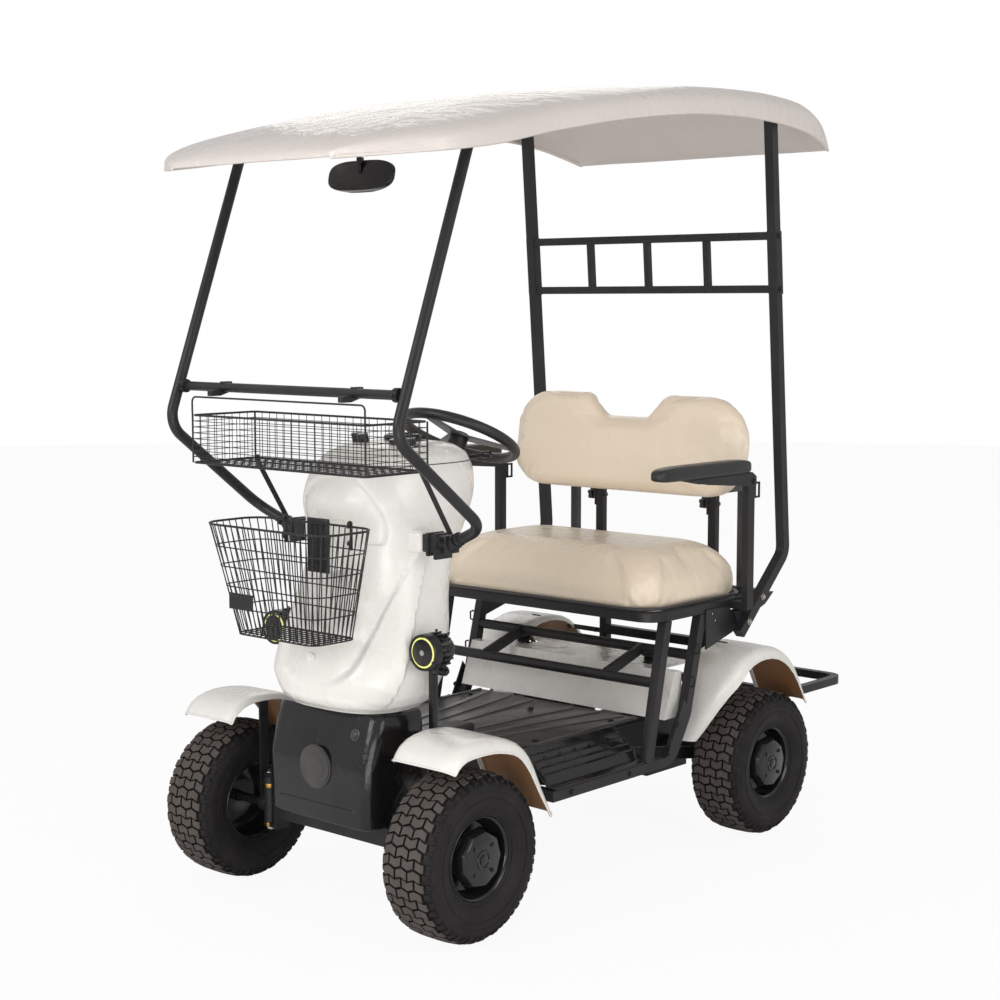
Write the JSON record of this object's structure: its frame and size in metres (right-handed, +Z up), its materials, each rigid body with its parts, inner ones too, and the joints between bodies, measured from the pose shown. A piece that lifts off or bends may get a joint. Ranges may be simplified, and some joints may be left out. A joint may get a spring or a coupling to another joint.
{
  "type": "off-road golf cart",
  "caption": "Open steel-frame golf cart for rough ground with a bench seat, fold-up armrests, sun roof, wire basket and tray, rear rack and steered front wheels.",
  "frame": {"origin": "on the ground, in the middle of the bounding box", "axes": "+Z up, front of the cart towards -Y, the left side of the cart towards +X"},
  "size_m": [0.88, 1.92, 1.928],
  "materials": {
    "frame_black": "semi-gloss black powder coat",
    "white_plastic": "glossy white moulded plastic",
    "black_plastic": "glossy black moulded plastic",
    "dark_plastic": "satin dark grey ribbed plastic",
    "cream_vinyl": "cream vinyl upholstery",
    "tyre_rubber": "charcoal rubber",
    "rim_black": "gloss black enamel",
    "arm_rubber": "black moulded foam pad",
    "steel": "plated steel",
    "mirror_glass": "glossy black shell with a mirror face"
  },
  "bodies": {
    "chassis": {"side_frame_left": "frame_black", "side_frame_right": "frame_black", "main_frame": "frame_black", "seat_rail": "frame_black", "cross_tubes": "frame_black", "post_left": "frame_black", "post_right": "frame_black", "ladder": "frame_black", "hoop_left": "frame_black", "hoop_right": "frame_black", "hoop_crossbar": "frame_black", "roof": "white_plastic", "mirror": "mirror_glass", "wire_tray": "frame_black", "tray_struts": "frame_black", "wire_basket": "frame_black", "cowl": "white_plastic", "dash": "black_plastic", "front_panel": "black_plastic", "headlamps": "black_plastic", "floor_pan": "dark_plastic", "step_left": "black_plastic", "step_right": "black_plastic", "rear_cover": "white_plastic", "battery_box": "dark_plastic", "pedals": "frame_black", "front_axle": "frame_black", "steering_column": "frame_black", "fender_rear_left": "white_plastic", "fender_rear_right": "white_plastic", "drive_axle": "frame_black", "shocks": "frame_black", "rear_rack": "frame_black", "seat_cushion": "cream_vinyl", "backrest": "cream_vinyl", "back_supports": "frame_black", "arm_posts": "frame_black"},
    "knuckle_left": {"knuckle_left": "frame_black", "fender_front_left": "white_plastic"},
    "knuckle_right": {"knuckle_right": "frame_black", "fender_front_right": "white_plastic"},
    "tie_rod": {"tie_rod": "steel"},
    "steering_wheel": {"steering_wheel": "black_plastic"},
    "armrest_left": {"armrest_left": "arm_rubber"},
    "armrest_right": {"armrest_right": "arm_rubber"},
    "wheel_front_left": {"tyre_front_left": "tyre_rubber", "rim_front_left": "rim_black"},
    "wheel_front_right": {"tyre_front_right": "tyre_rubber", "rim_front_right": "rim_black"},
    "wheel_rear_left": {"tyre_rear_left": "tyre_rubber", "rim_rear_left": "rim_black"},
    "wheel_rear_right": {"tyre_rear_right": "tyre_rubber", "rim_rear_right": "rim_black"}
  },
  "joints": [
    {"name": "steer_left", "type": "hinge", "parent": "chassis", "child": "knuckle_left", "pos_m": [0.255, -0.695, 0.1875], "axis": [0, 0, 1], "range_deg": [-25, 25]},
    {"name": "steer_right", "type": "hinge", "parent": "chassis", "child": "knuckle_right", "pos_m": [-0.255, -0.695, 0.1875], "axis": [0, 0, 1], "range_deg": [-25, 25]},
    {"name": "tie_rod_pivot", "type": "hinge", "parent": "knuckle_left", "child": "tie_rod", "pos_m": [0.255, -0.6, 0.1875], "axis": [0, 0, 1], "range_deg": [-25, 25]},
    {"name": "steering_wheel_turn", "type": "hinge", "parent": "chassis", "child": "steering_wheel", "pos_m": [0, -0.305, 1.056], "axis": [0, 0.4384, 0.8988], "range_deg": [-60, 60]},
    {"name": "armrest_left_fold", "type": "hinge", "parent": "chassis", "child": "armrest_left", "pos_m": [0.415, 0.315, 0.93], "axis": [-1, 0, 0], "range_deg": [0, 90]},
    {"name": "armrest_right_fold", "type": "hinge", "parent": "chassis", "child": "armrest_right", "pos_m": [-0.415, 0.315, 0.93], "axis": [-1, 0, 0], "range_deg": [0, 90]},
    {"name": "wheel_front_left_spin", "type": "hinge", "parent": "knuckle_left", "child": "wheel_front_left", "pos_m": [0.36, -0.695, 0.1875], "axis": [1, 0, 0], "continuous": true},
    {"name": "wheel_front_right_spin", "type": "hinge", "parent": "knuckle_right", "child": "wheel_front_right", "pos_m": [-0.36, -0.695, 0.1875], "axis": [1, 0, 0], "continuous": true},
    {"name": "wheel_rear_left_spin", "type": "hinge", "parent": "chassis", "child": "wheel_rear_left", "pos_m": [0.36, 0.425, 0.1875], "axis": [1, 0, 0], "continuous": true},
    {"name": "wheel_rear_right_spin", "type": "hinge", "parent": "chassis", "child": "wheel_rear_right", "pos_m": [-0.36, 0.425, 0.1875], "axis": [1, 0, 0], "continuous": true}
  ],
  "couplings": [
    {"joint": "steer_right", "follows": "steer_left", "ratio": 1},
    {"joint": "tie_rod_pivot", "follows": "steer_left", "ratio": -1},
    {"joint": "steering_wheel_turn", "follows": "steer_left", "ratio": 2.4}
  ]
}
